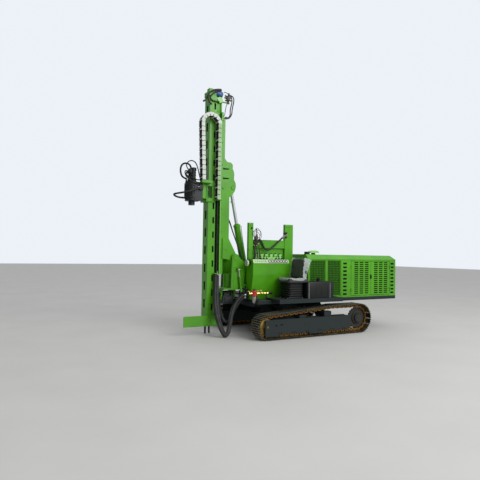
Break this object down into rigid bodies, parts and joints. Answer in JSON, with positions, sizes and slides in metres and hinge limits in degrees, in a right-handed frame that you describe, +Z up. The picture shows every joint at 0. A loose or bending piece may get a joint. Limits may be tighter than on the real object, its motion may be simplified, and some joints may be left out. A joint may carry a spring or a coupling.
{
  "type": "crawler pile driver rig",
  "caption": "Crawler rig with a tilting mast, sliding leader, rotary drill head on an energy chain, open seat and a long louvred engine hood.",
  "frame": {"origin": "on the ground under the middle of the rig's overall length and width", "axes": "+X forward to the mast, +Y to the rig's left, +Z up"},
  "size_m": [5.7999, 2.47, 5.52],
  "materials": {
    "green_paint": "gloss paint",
    "frame_paint": "satin paint, dusty",
    "grey_paint": "satin paint",
    "blue_paint": "satin paint",
    "track_steel": "worn bare steel with surface rust",
    "rusty_steel": "yellow primer and rust",
    "black_iron": "black paint, oily",
    "engine_iron": "matt",
    "bright_metal": "zinc plated",
    "chrome_rod": "polished",
    "grille": "expanded mesh over a dark bay",
    "lamp_plastic": "clear lens",
    "black_plastic": "satin",
    "red_plastic": "gloss",
    "seat_rubber": "matt bellows",
    "seat_vinyl": "vinyl with clear film",
    "hose_rubber": "matt"
  },
  "bodies": {
    "chassis": {"track_left": "track_steel", "track_right": "track_steel", "track_frame_left": "frame_paint", "track_frame_right": "frame_paint", "idler_left": "rusty_steel", "idler_right": "rusty_steel", "sprocket_left": "rusty_steel", "sprocket_right": "rusty_steel", "centre_frame": "frame_paint", "deck_frame": "frame_paint", "side_platforms": "frame_paint", "pivot_housing": "grey_paint", "hood_shell": "green_paint", "hood_mesh": "grille", "engine_block": "engine_iron", "cooler": "engine_iron", "exhaust": "engine_iron", "console": "green_paint", "console_controls": "bright_metal", "work_lamp": "lamp_plastic", "seat_base": "seat_rubber", "seat": "seat_vinyl", "fuel_tank": "black_plastic", "oil_tank": "green_paint", "air_lubricator": "red_plastic", "hose_frame": "green_paint", "valve_bank": "bright_metal", "post_valve": "bright_metal", "frame_hose": "hose_rubber"},
    "mast_bracket": {"bracket": "green_paint", "lean_shaft": "bright_metal", "tilt_pin": "bright_metal", "hose_clamp": "frame_paint", "hose_loop_near": "hose_rubber", "hose_loop_far": "hose_rubber"},
    "lean_ram_barrel": {"lean_barrel": "green_paint"},
    "lean_ram_rod": {"lean_rod": "chrome_rod"},
    "tilt_ram_barrel": {"tilt_barrel": "green_paint"},
    "tilt_ram_rod": {"tilt_rod": "chrome_rod"},
    "mast_guide": {"guide_beam": "green_paint"},
    "mast_leader": {"leader": "green_paint", "foot": "green_paint", "mast_head": "green_paint", "feed_motor": "blue_paint", "head_valves": "bright_metal", "energy_chain": "bright_metal", "channel_hoses": "hose_rubber"},
    "head_carriage": {"carriage": "green_paint", "drill_gearbox": "black_iron", "drill_motors": "black_iron", "head_hoses": "hose_rubber"},
    "drill_spindle": {"spindle": "bright_metal"},
    "door_left_front": {"door_left_front": "green_paint"},
    "door_left_rear": {"door_left_rear": "green_paint"},
    "door_right_front": {"door_right_front": "green_paint"},
    "door_right_rear": {"door_right_rear": "green_paint"}
  },
  "joints": [
    {"name": "mast_lean", "type": "hinge", "parent": "chassis", "child": "mast_bracket", "pos_m": [1.6, 0, 0.86], "axis": [1, 0, 0], "range_deg": [-5, 5]},
    {"name": "lean_ram_swing", "type": "hinge", "parent": "chassis", "child": "lean_ram_barrel", "pos_m": [1.372, 0.32, 0.965], "axis": [1, 0, 0], "range_deg": [-6.5, 6.5]},
    {"name": "lean_ram_stroke", "type": "slide", "parent": "lean_ram_barrel", "child": "lean_ram_rod", "axis": [0.1187, 0, 0.9929], "range_m": [-0.03, 0.03]},
    {"name": "mast_tilt", "type": "hinge", "parent": "mast_bracket", "child": "mast_guide", "pos_m": [1.49, 0, 1.72], "axis": [0, -1, 0], "range_deg": [-5, 75], "deforming": ["hose_loop_near", "hose_loop_far"]},
    {"name": "tilt_ram_swing", "type": "hinge", "parent": "mast_bracket", "child": "tilt_ram_barrel", "pos_m": [1.05, 0, 1.09], "axis": [0, -1, 0], "range_deg": [-4.5, 58]},
    {"name": "tilt_ram_stroke", "type": "slide", "parent": "tilt_ram_barrel", "child": "tilt_ram_rod", "axis": [0.2042, 0, 0.9789], "range_m": [-0.75, 0.06]},
    {"name": "leader_slide", "type": "slide", "parent": "mast_guide", "child": "mast_leader", "axis": [0, 0, 1], "range_m": [-0.02, 0.9], "deforming": ["channel_hoses"]},
    {"name": "head_feed", "type": "slide", "parent": "mast_leader", "child": "head_carriage", "axis": [0, 0, 1], "range_m": [-2.45, 1.3], "deforming": ["energy_chain"]},
    {"name": "spindle_turn", "type": "hinge", "parent": "head_carriage", "child": "drill_spindle", "pos_m": [2.477, 0, 2.9], "axis": [0, 0, 1], "continuous": true},
    {"name": "door_left_front_hinge", "type": "hinge", "parent": "chassis", "child": "door_left_front", "pos_m": [-1.384, 0.871, 1.2], "axis": [0, 0, -1], "range_deg": [0, 110]},
    {"name": "door_left_rear_hinge", "type": "hinge", "parent": "chassis", "child": "door_left_rear", "pos_m": [-2.69, 0.871, 1.2], "axis": [0, 0, 1], "range_deg": [0, 110]},
    {"name": "door_right_front_hinge", "type": "hinge", "parent": "chassis", "child": "door_right_front", "pos_m": [-1.384, -0.871, 1.2], "axis": [0, 0, 1], "range_deg": [0, 110]},
    {"name": "door_right_rear_hinge", "type": "hinge", "parent": "chassis", "child": "door_right_rear", "pos_m": [-2.69, -0.871, 1.2], "axis": [0, 0, -1], "range_deg": [0, 110]}
  ],
  "couplings": [
    {"joint": "lean_ram_swing", "follows": "mast_lean", "ratio": 1.2184},
    {"joint": "lean_ram_stroke", "follows": "mast_lean", "m_per_rad": 0.317},
    {"joint": "tilt_ram_swing", "follows": "mast_tilt", "ratio": 0.7663},
    {"joint": "tilt_ram_stroke", "follows": "mast_tilt", "m_per_rad": -0.569}
  ]
}
